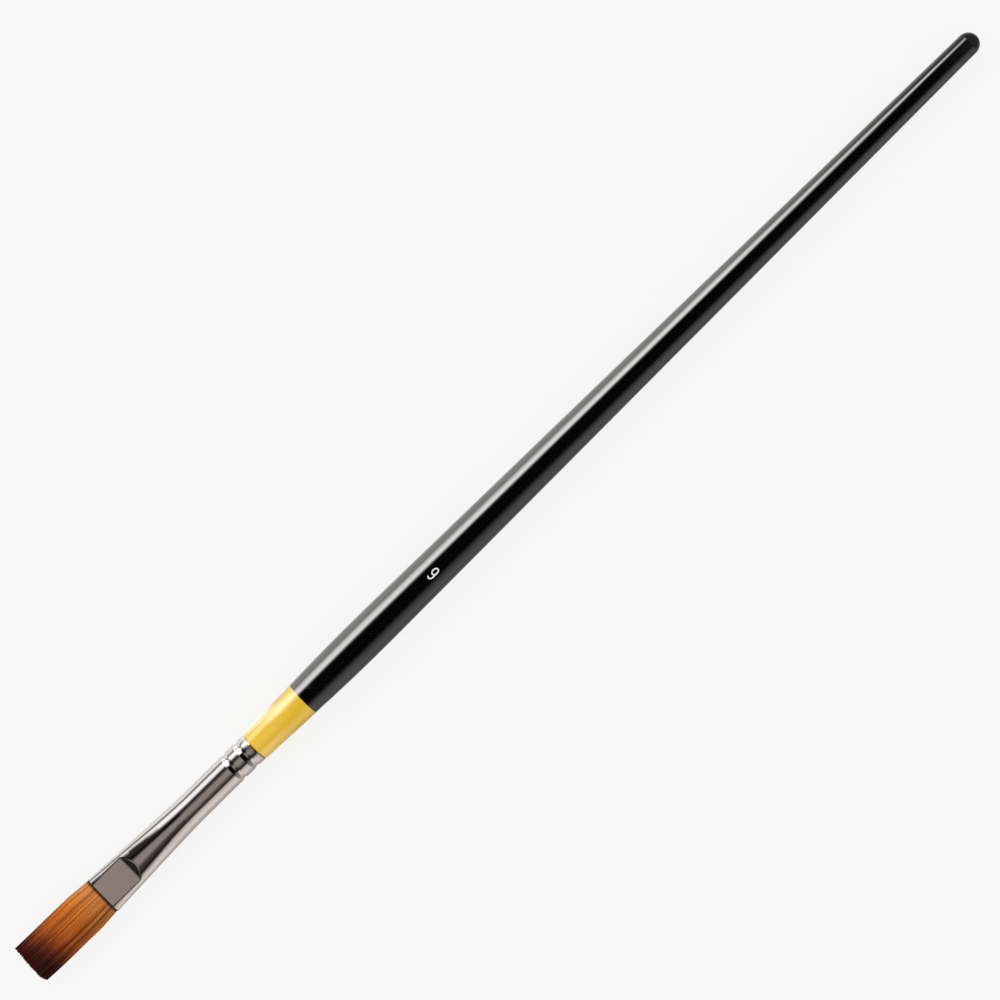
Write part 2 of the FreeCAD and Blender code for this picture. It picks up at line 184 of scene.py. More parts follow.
def dress(piece, material):
    """Give a CAD node or a new piece one material."""
    piece.data.materials.clear()
    piece.data.materials.append(material)


def mesh_piece(name, vertices, faces, smooth=True):
    """A new object in the scene, made of these points and faces."""
    mesh = bpy.data.meshes.new(name)
    mesh.from_pydata(vertices, [], faces)
    mesh.polygons.foreach_set("use_smooth", [smooth] * len(mesh.polygons))
    mesh.update()
    piece = bpy.data.objects.new(name, mesh)
    bpy.context.scene.collection.objects.link(piece)
    return piece


# ---------------------------------------------------------------------------------------------------
# Materials
# ---------------------------------------------------------------------------------------------------

# A pair is the darker and the lighter end of a surface's own variation.
NICKEL = (rgb(0.61, 0.59, 0.575), rgb(0.66, 0.64, 0.625))
NICKEL_LINE = rgb(0.56, 0.53, 0.51)
# painted shade: near black for the ferrule's rim at the mouth
MOUTH_RIM_SHADE = rgb(0.02, 0.015, 0.01)
YELLOW = (rgb(0.77, 0.46, 0.010), rgb(0.79, 0.49, 0.016))
BLACK = (rgb(0.0006, 0.0006, 0.0007), rgb(0.0011, 0.0011, 0.0011))
BIRCH = (rgb(0.56, 0.38, 0.21), rgb(0.74, 0.56, 0.36))
BIRCH_BAND = rgb(0.50, 0.31, 0.16)
AMBER = (rgb(0.42, 0.23, 0.06), rgb(0.62, 0.40, 0.14))
INK = (rgb(0.55, 0.55, 0.54), rgb(0.80, 0.80, 0.78))
SWEEP = (grey(0.083), grey(0.087))

# The filaments' dye by the share of their length: copper, brown, burgundy, nearly black.
DYE = [
    (0.00, rgb(0.52, 0.190, 0.050)),
    (0.20, rgb(0.48, 0.150, 0.024)),
    (0.38, rgb(0.42, 0.104, 0.010)),
    (0.54, rgb(0.36, 0.083, 0.008)),
    (0.64, rgb(0.25, 0.048, 0.008)),
    (0.72, rgb(0.145, 0.024, 0.005)),
    (0.80, rgb(0.062, 0.010, 0.004)),
    (0.90, rgb(0.038, 0.004, 0.002)),
    (1.00, rgb(0.046, 0.006, 0.003)),
]
TONE_LIGHT = (0.30, 1.66)            # how bright the darkest and the palest filaments are
MOUTH_SHADE = (0.046, 0.062)         # the shares between which the shadow at the mouth ends
MOUTH_SHADE_LIGHT = 0.06             # how bright the filaments are in it
MOUTH_RIM_SHADE_WIDTH = (0.05 * MM, 0.3 * MM)       # painted shade on the ferrule's rim at the mouth, solid and faded out

CREASE_RADIUS = 0.42 * MM            # how round the pressed creases of the ferrule look
LACQUER_IOR = 1.8                    # of the colour coat and of the clear coat over it
FLOOR_GLOW = 0.845                   # what the floor adds to the light it gets


def nickel():
    """Bright nickel plate: forming lines along the tube, cloudy wear, pits and painted shade on the
    rim at the mouth.
    """
    paint = Paint("nickel_plate", Metallic=1.0)
    lines = paint.noise(60, 2600, 2600, detail=3.0)
    cloud = paint.noise(180, 320, 320, detail=5.0)
    pits = paint.noise(3200, 3200, 3200, detail=2.0)
    tint = paint.ramp(cloud, (0.3, NICKEL[0]), (0.7, NICKEL[1]))
    worn = paint.mix(paint.span(lines, 0.45, 0.62, 0.0, 0.18), tint, NICKEL_LINE)
    # painted shade: the nickel turns near black at the rim of the mouth
    solid, faded = MOUTH_RIM_SHADE_WIDTH
    rim_shade_mask = paint.span(paint.axes()[0], MOUTH + solid, MOUTH + faded, 1.0, 0.0)
    relief = paint.add("ShaderNodeBevel", samples=12, Radius=CREASE_RADIUS).outputs["Normal"]
    relief = paint.bump(lines, 0.02, 0.02 * MM, under=relief)
    relief = paint.bump(pits, 0.03, 0.01 * MM, under=relief)
    return paint.finish(
        Base_Color=paint.mix(rim_shade_mask, worn, MOUTH_RIM_SHADE),
        Roughness=paint.span(cloud, 0.3, 0.75, 0.045, 0.095),
        Normal=relief,
    )


def lacquer(name, colors, rough):
    """Dipped gloss lacquer: orange peel, slight colour drift and hairline scuffs."""
    paint = Paint(name, IOR=LACQUER_IOR, Coat_Weight=1.0, Coat_IOR=LACQUER_IOR, Coat_Roughness=0.04)
    drift = paint.noise(90, 260, 260, detail=3.0)
    peel = paint.noise(420, 900, 900, detail=2.0)
    scuff = paint.noise(160, 5200, 5200, detail=4.0)
    relief = paint.bump(peel, 0.05, 0.03 * MM)
    return paint.finish(
        Base_Color=paint.mix(paint.span(drift, 0.35, 0.7, 0.0, 1.0), *colors),
        Roughness=paint.span(scuff, 0.55, 0.75, rough, rough + 0.04),
        Normal=paint.bump(scuff, 0.03, 0.01 * MM, under=relief),
    )


def filament_material():
    """Dyed synthetic filaments, each with its own tone plus painted light across the tuft and
    painted shade between clumps, in shadow where they enter the ferrule.
    """
    paint = Paint("dyed_filament", IOR=1.5, Specular_IOR_Level=0.16)
    along, tone, shift = (
        paint.add("ShaderNodeAttribute", attribute_name=name).outputs["Fac"]
        for name in ("along", "tone", "shift")
    )
    dye = paint.ramp(paint.math("ADD", along, shift), *DYE)
    fleck = paint.noise(350, 6000, 6000, detail=2.0)
    light = paint.math(
        "MULTIPLY",
        paint.span(tone, 0.0, 1.0, *TONE_LIGHT),
        paint.span(fleck, 0.3, 0.7, 0.88, 1.12),
    )
    light = paint.math("MULTIPLY", light, paint.span(along, *MOUTH_SHADE, MOUTH_SHADE_LIGHT, 1.0))
    strength = paint.add("ShaderNodeCombineColor", Red=light, Green=light, Blue=light)
    return paint.finish(
        Base_Color=paint.mix(1.0, dye, strength.outputs["Color"], blend="MULTIPLY"),
        Roughness=paint.span(fleck, 0.3, 0.7, 0.34, 0.46),
    )


def bare_wood():
    """Pale birch under the lacquer: fine fibres along the handle and faint growth bands."""
    paint = Paint("bare_birch")
    fibre = paint.noise(70, 2600, 2600, detail=6.0)
    band = paint.noise(22, 420, 420, detail=3.0)
    color = paint.ramp(fibre, (0.3, BIRCH[0]), (0.75, BIRCH[1]))
    return paint.finish(
        Base_Color=paint.mix(paint.span(band, 0.5, 0.66, 0.0, 0.4), color, BIRCH_BAND),
        Roughness=paint.span(fibre, 0.3, 0.7, 0.48, 0.66),
        Normal=paint.bump(fibre, 0.2, 0.04 * MM),
    )


def set_resin():
    """Amber epoxy with soft clouds and small bubbles."""
    paint = Paint("amber_epoxy", IOR=1.55)
    cloud = paint.noise(500, 500, 500, detail=3.0)
    place = paint.stretched(1800, 1800, 1800)
    bubbles = paint.add("ShaderNodeTexVoronoi", Vector=place, Scale=1.0).outputs["Distance"]
    return paint.finish(
        Base_Color=paint.ramp(cloud, (0.3, AMBER[0]), (0.7, AMBER[1])),
        Roughness=paint.span(cloud, 0.3, 0.7, 0.14, 0.26),
        Normal=paint.bump(bubbles, 0.12, 0.04 * MM),
    )


def print_ink():
    """Matte white pad print, thin enough for the black to show a little."""
    paint = Paint("white_print")
    cover = paint.noise(2600, 2600, 2600, detail=3.0)
    return paint.finish(
        Base_Color=paint.ramp(cover, (0.35, INK[0]), (0.6, INK[1])),
        Roughness=paint.span(cover, 0.3, 0.7, 0.4, 0.55),
    )


def floor_material():
    """A pale sweep that is nearly as bright as the light on it, so that only soft shadows show."""
    paint = Paint("pale_sweep", Roughness=0.9, Specular_IOR_Level=0.0)
    grain = paint.noise(400, 400, 400, detail=4.0)
    paint.shader.inputs["Emission Color"].default_value = grey(1.0)
    paint.shader.inputs["Emission Strength"].default_value = FLOOR_GLOW
    return paint.finish(Base_Color=paint.ramp(grain, (0.3, SWEEP[0]), (0.7, SWEEP[1])))


def dress_cad_nodes():
    """Every CAD node that stays in the picture, the hidden ones too."""
    dress(nodes["ferrule"], nickel())
    dress(nodes["yellow_band"], lacquer("yellow_lacquer", YELLOW, rough=0.24))
    dress(nodes["black_lacquer"], lacquer("black_gloss", BLACK, rough=0.06))
    dress(nodes["wooden_handle"], bare_wood())
    dress(nodes["epoxy_plug"], set_resin())


# ---------------------------------------------------------------------------------------------------
# The tuft: separate filaments in clumps
#
# "across" runs from -1 at the low-y edge to 1, "up" from -1 at the underside to 1, and "share" from
# 0 at the mouth to 1 at the tips. "part" is the same along one filament, from its root to its end.
# ---------------------------------------------------------------------------------------------------

TUFT_SEED = 7
STRANDS = 3200
CLUMPS = 46
STREAKS = 110                        # paler and darker stripes, finer than the clumps
RINGS = 9                            # of points along a filament
SIDES = 4
ROOT_DEPTH = 1.5 * MM                # how far the filaments reach back into the ferrule
ROOT_WIDTH = 0.075 * MM              # half thickness of a filament at its root
TIP_WIDTH = 0.034 * MM               # and at its end
TAPER_POWER = 1.5

MOUTH_HALF_WIDTH = 4.74 * MM
MOUTH_HALF_HEIGHT = 1.30 * MM
SWELL_WIDTH = 0.62 * MM              # what each side gains just past the mouth
SWELL_WIDTH_SHARE = 0.22             # over this share of the length
SWELL_HEIGHT = 0.12 * MM
SWELL_HEIGHT_SHARE = 0.2
CHISEL = 0.98 * MM                   # what the half thickness loses by the tips
SLANT = 0.012                        # how much shorter the tuft is per unit across
CORNER_FROM = 0.55                   # where across the low corner starts to round off
CORNER_CUT = 0.035                   # how much shorter it is at the very edge
TUFT_LEAN = 0.26 * MM                # how far the tips lean towards high y
CORNER_LEAN = 1.32 * MM              # and the low corner more, past this share of the length
CORNER_LEAN_FROM = 0.6

CLUMP_OFFSET = 0.012                 # how unevenly the clumps are spaced across
CLUMP_HEIGHT = 0.5                   # how far up or down a clump may gather
CLUMP_PULL = (0.05, 0.35)            # how much of the way it draws together at its end
CLUMP_TONE = 0.15
CLUMP_SHIFT = 0.035                  # of the dye along the length
CLUMP_SHORT = 0.006
GATHER_POWER = 1.6                   # clumps draw together mostly near their ends
GATHER_UP = 0.35                     # and less in height than across
STREAK_TONE = 0.13
STREAK_STEPS = (0, 0, 0, 0, 0.22, -0.22)     # one stripe in three is plainly paler or darker

OUTER_LAYER = 0.5                    # half of the filaments lie in the outer layer
OUTER_REACH = (0.88, 1.0)            # which is this far out
WANDER_ACROSS = 0.035 * MM           # how wavy a filament is
WANDER_UP = 0.04 * MM
WAVE_ACROSS = (5.0, 40)              # its wave, in radians along it and from one to the next
WAVE_UP = (4.0, 30)
LEAN = 0.07 * MM                     # how far its end leans to one side
RAGGED = 0.009                       # how much shorter it may be than its neighbours
STRAND_TONE = 0.05
STRAND_SHIFT = 0.012

MIDDLE_TONE = 0.60
PAINTED_LIGHT_ACROSS = 0.23                   # painted light: paler towards high y, the side the lamp is on
PAINTED_SHADE_BETWEEN_CLUMPS = -0.20              # painted shade: darker away from the middle of a clump, in the gaps between clumps
MIDDLE_SHIFT = -0.015
SHIFT_ACROSS = -0.05                 # the dye starts further out towards high y
SHIFT_BY_STREAK = 0.12


def half_width(share):
    """Half the tuft's width."""
    return MOUTH_HALF_WIDTH + SWELL_WIDTH * min(1.0, share / SWELL_WIDTH_SHARE) ** 0.8


def half_height(share):
    """Half the tuft's thickness, which thins to a chisel."""
    swell = math.sin(min(1.0, share / SWELL_HEIGHT_SHARE) * math.pi / 2)
    return MOUTH_HALF_HEIGHT + SWELL_HEIGHT * swell - CHISEL * share ** 1.7


def section_height(across):
    """The height of the tuft's section, a flat oval, as a share of its middle's."""
    return (1 - abs(across) ** 3.2) ** 0.4


def tip_share(across):
    """Where the filaments end: on a shallow slant with a slightly rounded low corner."""
    corner = max(0.0, (-across - CORNER_FROM) / (1 - CORNER_FROM))
    return 1.0 - SLANT * (across + 1) - CORNER_CUT * corner ** 2


def bend(across, share):
    """How far the tuft leans towards high y at a place."""
    corner = max(0.0, -across) * max(0.0, share - CORNER_LEAN_FROM) ** 2
    return TUFT_LEAN * share + CORNER_LEAN * corner


def make_clump(chance, index):
    """A clump's middle, how strongly it draws together, and how its filaments differ from others."""
    return {
        "center": -1 + 2 * (index + 0.5) / CLUMPS + chance.gauss(0, CLUMP_OFFSET),
        "height": chance.uniform(-CLUMP_HEIGHT, CLUMP_HEIGHT),
        "pull": chance.uniform(*CLUMP_PULL),
        "tone": chance.gauss(0, CLUMP_TONE),
        "shift": chance.gauss(0, CLUMP_SHIFT),
        "short": max(0.0, chance.gauss(0, CLUMP_SHORT)),
    }


def make_streak(chance):
    """One stripe's tone."""
    return chance.gauss(0, STREAK_TONE) + chance.choice(STREAK_STEPS)


def make_strand(chance, clumps, streaks):
    """One filament's place, end, waviness and colour."""
    is_anywhere = chance.random() < 1 - OUTER_LAYER
    reach = chance.random() if is_anywhere else chance.uniform(*OUTER_REACH)
    across = chance.uniform(-1, 1)
    up = section_height(across) * reach * chance.choice((-1, 1))
    clump = min(clumps, key=lambda item: abs(item["center"] - across))
    strand = {
        "across": across,
        "up": up,
        "clump": clump,
        "gather": clump["pull"] * reach ** 3,
        "end": tip_share(across) - clump["short"] - abs(chance.gauss(0, RAGGED)),
        "wander_across": chance.gauss(0, WANDER_ACROSS),
        "wander_up": chance.gauss(0, WANDER_UP),
        "lean": chance.gauss(0, LEAN),
    }
    off_center = abs(clump["center"] - across) * CLUMPS
    streak = streaks[int((across + 1) / 2 * (STREAKS - 1))]
    # A filament's tone holds painted light across the tuft and painted shade between clumps, on top
    # of its own random tone.
    tone = MIDDLE_TONE + clump["tone"] + PAINTED_LIGHT_ACROSS * across + PAINTED_SHADE_BETWEEN_CLUMPS * off_center ** 2
    strand["tone"] = min(1.0, max(0.0, tone + streak + chance.gauss(0, STRAND_TONE)))
    shift = MIDDLE_SHIFT + clump["shift"] + SHIFT_ACROSS * across + SHIFT_BY_STREAK * streak
    strand["shift"] = shift + chance.gauss(0, STRAND_SHIFT)
    return strand


def strand_middle(strand, part):
    """The middle of a filament at a part of its length, as (y, z from the axis)."""
    share = part * strand["end"]
    across, up, clump = strand["across"], strand["up"], strand["clump"]
    gather = strand["gather"] * part ** GATHER_POWER
    y = (across + (clump["center"] - across) * gather) * half_width(share)
    y += strand["wander_across"] * math.sin(WAVE_ACROSS[0] * part + WAVE_ACROSS[1] * across)
    y += strand["lean"] * part ** 2 + bend(across, share)
    z = (up + (clump["height"] - up) * gather * GATHER_UP) * half_height(share)
    z += strand["wander_up"] * math.sin(WAVE_UP[0] * part + WAVE_UP[1] * up)
    return y, z


def strand_points(strand):
    """The rings of points round a filament, from its root in the ferrule to its end."""
    for ring in range(RINGS):
        part = ring / (RINGS - 1)
        share = part * strand["end"]
        x = MOUTH - share * (MOUTH - TIPS) + (ROOT_DEPTH if ring == 0 else 0.0)
        y, z = strand_middle(strand, part)
        thick = ROOT_WIDTH + (TIP_WIDTH - ROOT_WIDTH) * part ** TAPER_POWER
        for side in range(SIDES):
            turn = 2 * math.pi * (side + 0.5) / SIDES
            point = (x, y + thick * math.cos(turn), AXIS_HEIGHT + z + thick * math.sin(turn))
            yield point, share


def tube_faces(first):
    """The faces of one filament whose points start at a number: its sides and its end."""
    for ring in range(RINGS - 1):
        low = first + ring * SIDES
        for side in range(SIDES):
            after = (side + 1) % SIDES
            yield (low + side, low + after, low + SIDES + after, low + SIDES + side)
    last = first + (RINGS - 1) * SIDES
    yield tuple(last + side for side in range(SIDES))


def make_tuft():
    """Every filament is a thin tapering square tube; clumps draw together towards their tips."""
    chance = random.Random(TUFT_SEED)
    clumps = [make_clump(chance, index) for index in range(CLUMPS)]
    streaks = [make_streak(chance) for _ in range(STREAKS)]
    vertices, faces = [], []
    values = {"along": [], "tone": [], "shift": []}
    for _ in range(STRANDS):
        strand = make_strand(chance, clumps, streaks)
        faces.extend(tube_faces(len(vertices)))
        for point, share in strand_points(strand):
            vertices.append(point)
            values["along"].append(share)
            values["tone"].append(strand["tone"])
            values["shift"].append(strand["shift"])
    tuft = mesh_piece("bristle_filaments", vertices, faces)
    for name, numbers in values.items():
        tuft.data.attributes.new(name, "FLOAT", "POINT").data.foreach_set("value", numbers)
    dress(tuft, filament_material())
    return tuft


# ---------------------------------------------------------------------------------------------------
# The size number on the handle
# ---------------------------------------------------------------------------------------------------

NUMBER_FROM_SHOULDER = 59.3 * MM     # middle of the digit, behind the shoulder
NUMBER_ACROSS = -0.5 * MM
NUMBER_HEIGHT = 3.4 * MM
NUMBER_WIDTH = 1.5 * MM
NUMBER_STROKE = 0.34 * MM
NUMBER_LIFT = 0.02 * MM              # how far the ink lies over the lacquer
NUMBER_START = 0.5 * MM              # how far over the handle it starts before it is wrapped on
BOWL_SHARE = 0.29                    # half the bowl's height, of the digit's
CURL_START = 38                      # degrees, where the upper curl of the stem begins
CURL_STEPS = 12
STEM_STEPS = 6
BOWL_STEPS = 32


def number_line():
    """The middle line of a plain 6 as (right, up): a stem that curls into a round bowl."""
    wide = (NUMBER_WIDTH - NUMBER_STROKE) / 2
    tall = NUMBER_HEIGHT - NUMBER_STROKE
    bowl = tall * BOWL_SHARE
    high = tall / 2 - bowl
    low = bowl - tall / 2
    line = []
    for step in range(CURL_STEPS + 1):
        turn = math.radians(CURL_START + (180 - CURL_START) * step / CURL_STEPS)
        line.append((wide * math.cos(turn), high + bowl * math.sin(turn)))
    for step in range(1, STEM_STEPS + 1):
        line.append((-wide, high + (low - high) * step / STEM_STEPS))
    for step in range(1, BOWL_STEPS + 1):
        turn = math.radians(180 + 360 * step / BOWL_STEPS)
        line.append((wide * math.cos(turn), low + bowl * math.sin(turn)))
    return line


def make_number():
    """The digit as a flat ribbon, wrapped onto the lacquer. Its top points to the filaments."""
    line = number_line()
    place = (BAND_LOW.x + NUMBER_FROM_SHOULDER, NUMBER_ACROSS, HANDLE_HIGH.z + NUMBER_START)
    middle = Vector(place)
    vertices = []
    for index, (right, up) in enumerate(line):
        before = line[max(0, index - 1)]
        after = line[min(len(line) - 1, index + 1)]
        run = Vector((after[0] - before[0], after[1] - before[1])).normalized()
        for side in (-1, 1):
            edge_right = right - run.y * side * NUMBER_STROKE / 2
            edge_up = up + run.x * side * NUMBER_STROKE / 2
            vertices.append(middle + Vector((-edge_up, edge_right, 0)))
    faces = [(low, low + 1, low + 3, low + 2) for low in range(0, 2 * len(line) - 2, 2)]
    digit = mesh_piece("size_number", vertices, faces)
    wrap = digit.modifiers.new("onto_lacquer", "SHRINKWRAP")
    wrap.target = nodes["black_lacquer"]
    wrap.wrap_method = "PROJECT"
    wrap.use_project_z = True
    wrap.use_negative_direction = True
    wrap.use_positive_direction = False
    wrap.offset = NUMBER_LIFT
    dress(digit, print_ink())
    return digit


# ---------------------------------------------------------------------------------------------------
# Camera
# ---------------------------------------------------------------------------------------------------

CAMERA_DISTANCE = 0.661              # from the brush's axis
CAMERA_LENS = 100.0
CAMERA_SENSOR = 36.0
CAMERA_TURN = math.radians(-44.54)
CAMERA_AIM = (-0.74 * MM, 0.41 * MM)     # the brush lies a little off the middle of the view


def make_camera():
    """Straight above the brush, turned so that its tail points to the upper right."""
    camera = bpy.data.cameras.new("camera")
    camera.lens = CAMERA_LENS
    camera.sensor_width = CAMERA_SENSOR
    camera.clip_start = 10 * MM
    holder = bpy.data.objects.new("camera", camera)
    right = Vector((math.cos(CAMERA_TURN), math.sin(CAMERA_TURN), 0))
    up = Vector((-math.sin(CAMERA_TURN), math.cos(CAMERA_TURN), 0))
    aim = right * CAMERA_AIM[0] + up * CAMERA_AIM[1]
    holder.location = aim + Vector((0, 0, AXIS_HEIGHT + CAMERA_DISTANCE))
    holder.rotation_euler = (0, 0, CAMERA_TURN)
    bpy.context.scene.collection.objects.link(holder)
    bpy.context.scene.camera = holder


# ---------------------------------------------------------------------------------------------------
# The light tent: a closed tunnel of soft light round the brush, which only reflections see
#
# Each table gives the tent's light as (angle, brightness, tint). The angle is in degrees round the
# brush's axis, 0 straight up, positive towards low y and negative towards high y. Past 90 either way
# the light comes off the table. A lamp hangs on the high-y side, the ceiling is dark over the handle
# and brown over the ferrule, and a pale wall stands on the low-y side.
# ---------------------------------------------------------------------------------------------------

TENT_RADIUS = 0.15
TENT_REACH = 3.0                     # to each side along the brush
TENT_SIDES = 48
TENT_BASE = 0.3 * MM                 # its flat side, just over the floor
TENT_PEAK = 4.6                      # a ramp holds light up to 1, so it is given as a share of this
CEILING_PEAK = 1.2                   # and the ceiling's share as a share of this

WHITE = (1.0, 0.99, 0.97)
PINK = (1.0, 0.90, 0.85)
BROWN = (1.0, 0.83, 0.77)

HANDLE_LIGHT = [
    (-180, 0.60, WHITE), (-114, 0.70, WHITE), (-98, 0.98, WHITE), (-88, 0.93, WHITE),
    (-80, 1.5, WHITE), (-66, 3.6, WHITE), (-52, 4.5, WHITE), (-46, 3.8, WHITE),
    (-41, 2.2, WHITE), (-36, 0.6, WHITE), (-31, 0.06, WHITE), (-24, 0.006, WHITE),
    (34, 0.006, WHITE), (42, 0.035, WHITE), (52, 0.15, WHITE), (65, 0.28, WHITE),
    (90, 0.37, WHITE), (98, 0.32, WHITE), (110, 0.20, WHITE), (180, 0.19, WHITE),
]
# Towards the tail the lamp is narrower.
TAIL_LIGHT = [
    (-180, 0.45, WHITE), (-125, 0.55, WHITE), (-112, 0.50, WHITE), (-100, 0.34, WHITE),
    (-90, 0.16, WHITE), (-80, 0.14, WHITE), (-74, 0.60, WHITE), (-68, 2.2, WHITE),
    (-60, 3.6, WHITE), (-53, 2.6, WHITE), (-48, 0.8, WHITE), (-43, 0.05, WHITE),
    (-36, 0.006, WHITE), (34, 0.006, WHITE), (42, 0.035, WHITE), (52, 0.16, WHITE),
    (65, 0.31, WHITE), (90, 0.43, WHITE), (98, 0.38, WHITE), (110, 0.24, WHITE),
    (180, 0.19, WHITE),
]
# Over the yellow band the whole high-y side is bright.
BAND_LIGHT = [
    (-180, 1.2, WHITE), (-114, 1.6, WHITE), (-98, 2.2, WHITE), (-84, 2.6, WHITE),
    (-70, 3.0, WHITE), (-60, 3.5, WHITE), (-50, 3.3, WHITE), (-42, 2.0, WHITE),
    (-34, 0.8, WHITE), (-26, 0.30, WHITE), (-16, 0.10, WHITE), (-6, 0.006, WHITE),
    (34, 0.006, WHITE), (48, 0.10, WHITE), (65, 0.30, WHITE), (90, 0.50, WHITE),
    (110, 0.40, WHITE), (180, 0.30, WHITE),
]
# The lamp and the wall over the ferrule's barrel and neck.
BARREL_LIGHT = [
    (-180, 0.98, WHITE), (-114, 0.95, WHITE), (-106, 1.18, WHITE), (-99, 1.15, WHITE),
    (-95, 0.48, WHITE), (-87, 0.15, WHITE), (-83, 0.35, WHITE), (-78, 1.2, WHITE),
    (-68, 1.5, WHITE), (-55, 1.45, WHITE), (-49, 0.85, WHITE), (-42, 0.20, WHITE),
    (-36, 0.01, WHITE), (-32, 0.0, WHITE), (43, 0.0, PINK), (48, 0.12, PINK),
    (52, 0.45, PINK), (58, 0.73, PINK), (66, 0.85, PINK), (75, 0.97, PINK),
    (92, 1.02, PINK), (99, 0.81, PINK), (106, 0.68, PINK), (115, 0.51, PINK),
    (180, 0.49, PINK),
]
# Over the pressed flats both stand further from the middle.
PRESSED_LIGHT = [
    (-180, 0.98, WHITE), (-114, 0.95, WHITE), (-106, 1.18, WHITE), (-99, 1.15, WHITE),
    (-95, 0.48, WHITE), (-87, 0.15, WHITE), (-83, 0.35, WHITE), (-78, 1.1, WHITE),
    (-72, 1.2, WHITE), (-66, 0.65, WHITE), (-61, 0.22, WHITE), (-56, 0.05, WHITE),
    (-50, 0.03, WHITE), (-36, 0.03, WHITE), (-26, 0.0, WHITE), (46, 0.0, PINK),
    (52, 0.12, PINK), (58, 0.45, PINK), (64, 0.73, PINK), (70, 0.85, PINK),
    (77, 0.97, PINK), (92, 1.02, PINK), (99, 0.81, PINK), (106, 0.68, PINK),
    (115, 0.51, PINK), (180, 0.49, PINK),
]
# The ceiling over the barrel is added to the lamp and the wall.
BARREL_CEILING = [
    (-36, 0.0, BROWN), (-29, 0.05, BROWN), (-21, 0.15, BROWN), (-14, 0.33, BROWN),
    (-8, 0.385, BROWN), (8, 0.41, BROWN), (14, 0.355, BROWN), (21, 0.25, BROWN),
    (28, 0.17, BROWN), (34, 0.08, BROWN), (41, 0.03, BROWN), (48, 0.0, BROWN),
]
# Over the flats and the pressed neck it is narrower.
PRESSED_CEILING = [
    (-26, 0.0, BROWN), (-20, 0.04, BROWN), (-15, 0.26, BROWN), (-10, 0.385, BROWN),
    (8, 0.41, BROWN), (13, 0.33, BROWN), (18, 0.19, BROWN), (23, 0.09, BROWN),
    (28, 0.07, BROWN), (34, 0.055, BROWN), (40, 0.03, BROWN), (46, 0.0, BROWN),
]

# Along the tunnel a place is named by its station: the x of the point on a level surface at the
# brush that mirrors it straight up. A sloping surface mirrors a station further away. The tent
# stands still when the view changes.

# How much of the ceiling there is, by station in millimetres. The gap from -178 to -152 shows in the
# sloping wall of the press, as the dark crescent.
CEILING_SHARE = [
    (-400, 0.06), (-330, 0.06), (-318, 1.15), (-192, 1.15), (-178, 0.08), (-152, 0.08), (-142, 1.0),
]
# The stations between which one table gives way to the next.
PRESSED_TO_BARREL_LIGHT = (MOUTH + 7 * MM, MOUTH + 15 * MM)
PRESSED_TO_BARREL_CEILING = (MOUTH + 20 * MM, MOUTH + 28 * MM)
FERRULE_TO_BAND = (FERRULE_HIGH.x - 1 * MM, FERRULE_HIGH.x + 3 * MM)
BAND_TO_BLACK = (BAND_HIGH.x - 8.5 * MM, BAND_HIGH.x - 5.5 * MM)
BLACK_TO_TAIL = (HANDLE_HIGH.x - 85 * MM, HANDLE_HIGH.x - 15 * MM)
TAIL_TO_DIM = (HANDLE_HIGH.x - 12 * MM, HANDLE_HIGH.x + 18 * MM)
DIM_LIGHT = 0.10                     # past the tail, where its dome looks


def tent_material():
    """Light by the angle round the brush and by the station along it."""
    paint = Glow("tent_light", TENT_PEAK)
    x, y, z = paint.axes()
    height = paint.math("SUBTRACT", z, AXIS_HEIGHT)
    turn = paint.math("ARCTAN2", paint.math("MULTIPLY", y, -1.0), height)
    turn_share = paint.span(turn, -math.pi, math.pi, 0.0, 1.0)
    squares = paint.math("ADD", paint.math("MULTIPLY", y, y), paint.math("MULTIPLY", height, height))
    away = paint.math("DIVIDE", paint.math("SQRT", squares), CAMERA_DISTANCE)
    station = paint.math("DIVIDE", x, paint.math("ADD", away, 1.0))

    def light(table):
        """A table's light, as a colour by angle."""
        return paint.ramp(turn_share, *(
            (angle / 360 + 0.5, rgb(*(level * part / TENT_PEAK for part in tint)))
            for angle, level, tint in table
        ))

    def give_way(stations, first, second):
        """One light before these stations and another past them."""
        return paint.mix(paint.span(station, *stations, 0.0, 1.0), first, second)

    low, high = CEILING_SHARE[0][0] * MM, CEILING_SHARE[-1][0] * MM
    shares = paint.ramp(paint.span(station, low, high, 0.0, 1.0), *(
        ((place * MM - low) / (high - low), grey(share / CEILING_PEAK))
        for place, share in CEILING_SHARE
    ))
    ceiling = give_way(PRESSED_TO_BARREL_CEILING, light(PRESSED_CEILING), light(BARREL_CEILING))
    ceiling = paint.mix(1.0, ceiling, shares, blend="MULTIPLY")
    ceiling = paint.mix(1.0, ceiling, grey(CEILING_PEAK), blend="MULTIPLY")
    walls = give_way(PRESSED_TO_BARREL_LIGHT, light(PRESSED_LIGHT), light(BARREL_LIGHT))
    over_ferrule = paint.mix(1.0, walls, ceiling, blend="ADD")
    over_handle = give_way(BLACK_TO_TAIL, light(HANDLE_LIGHT), light(TAIL_LIGHT))
    over_handle = give_way(BAND_TO_BLACK, light(BAND_LIGHT), over_handle)
    over_handle = give_way(TAIL_TO_DIM, over_handle, grey(DIM_LIGHT / TENT_PEAK))
    return paint.finish(Color=give_way(FERRULE_TO_BAND, over_ferrule, over_handle))


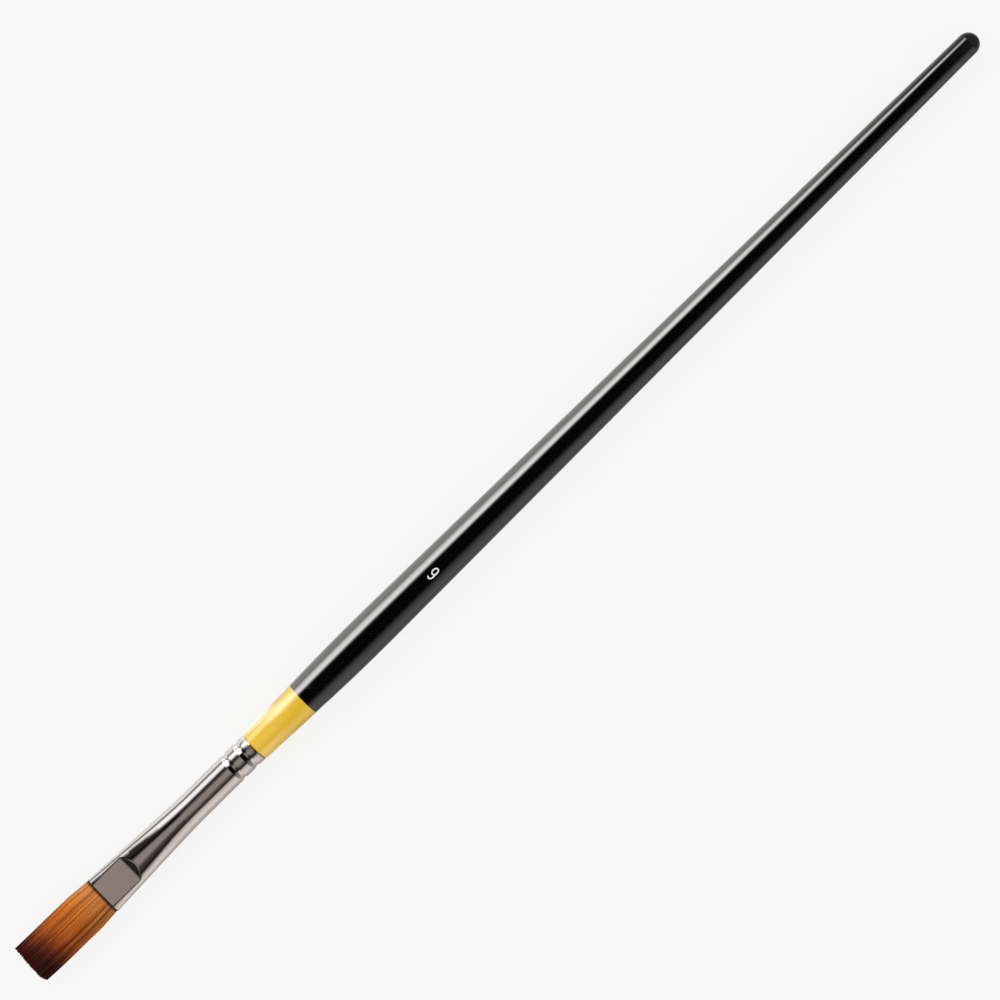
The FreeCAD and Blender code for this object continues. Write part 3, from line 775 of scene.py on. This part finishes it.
def make_tent():
    """A half-round tunnel, closed by its flat side just over the floor."""
    ring = []
    for side in range(TENT_SIDES + 1):
        turn = math.pi * side / TENT_SIDES
        ring.append((TENT_RADIUS * math.cos(turn), TENT_BASE + TENT_RADIUS * math.sin(turn)))
    vertices = [(x, y, z) for x in (-TENT_REACH, TENT_REACH) for y, z in ring]
    count = len(ring)
    faces = [(side, side + 1, count + side + 1, count + side) for side in range(TENT_SIDES)]
    faces.append((TENT_SIDES, 0, count, count + TENT_SIDES))
    tent = mesh_piece("light_tent", vertices, faces, smooth=False)
    dress(tent, tent_material())
    tent.visible_camera = False
    tent.visible_diffuse = False
    tent.visible_shadow = False
    tent.visible_transmission = False


# ---------------------------------------------------------------------------------------------------
# Floor and soft light
# ---------------------------------------------------------------------------------------------------

FLOOR_REACH = 6
ROOM_COLOR = rgb(1.0, 0.995, 0.985)
ROOM_STRENGTH = 0.95
SOFT_BOX_SIZE = (0.9, 0.5)
SOFT_BOX_POWER = 3.0
SOFT_BOX_PLACE = (-0.25, 0.55, 0.75)
SOFT_BOX_AIM = (0.10, -0.55, -0.75)


def make_floor():
    """A wide level floor under the brush."""
    corners = [(-1, -1), (1, -1), (1, 1), (-1, 1)]
    vertices = [(x * FLOOR_REACH, y * FLOOR_REACH, 0) for x, y in corners]
    floor = mesh_piece("floor", vertices, [(0, 1, 2, 3)], smooth=False)
    dress(floor, floor_material())


def make_room():
    """Even light from all round. Reflections see the tent alone, and not this."""
    world = bpy.data.worlds.new("pale_room")
    world.use_nodes = True
    backdrop = world.node_tree.nodes["Background"]
    backdrop.inputs["Color"].default_value = ROOM_COLOR
    backdrop.inputs["Strength"].default_value = ROOM_STRENGTH
    bpy.context.scene.world = world
    world.cycles_visibility.glossy = False


def make_soft_box():
    """A large soft light over the high-y side, for the shadows."""
    lamp = bpy.data.lights.new("soft_box", "AREA")
    lamp.shape = "RECTANGLE"
    lamp.size, lamp.size_y = SOFT_BOX_SIZE
    lamp.energy = SOFT_BOX_POWER
    soft_box = bpy.data.objects.new("soft_box", lamp)
    soft_box.location = SOFT_BOX_PLACE
    soft_box.rotation_euler = Vector(SOFT_BOX_AIM).to_track_quat("-Z", "Y").to_euler()
    soft_box.visible_glossy = False
    bpy.context.scene.collection.objects.link(soft_box)


# ---------------------------------------------------------------------------------------------------
# Putting it together
# ---------------------------------------------------------------------------------------------------

make_camera()
dress_cad_nodes()

tuft = make_tuft()
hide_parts("filament_tuft")
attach(tuft, "root")

digit = make_number()
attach(digit, "root")

make_floor()
make_room()
make_tent()
make_soft_box()
bpy.context.scene.view_settings.view_transform = "Standard"
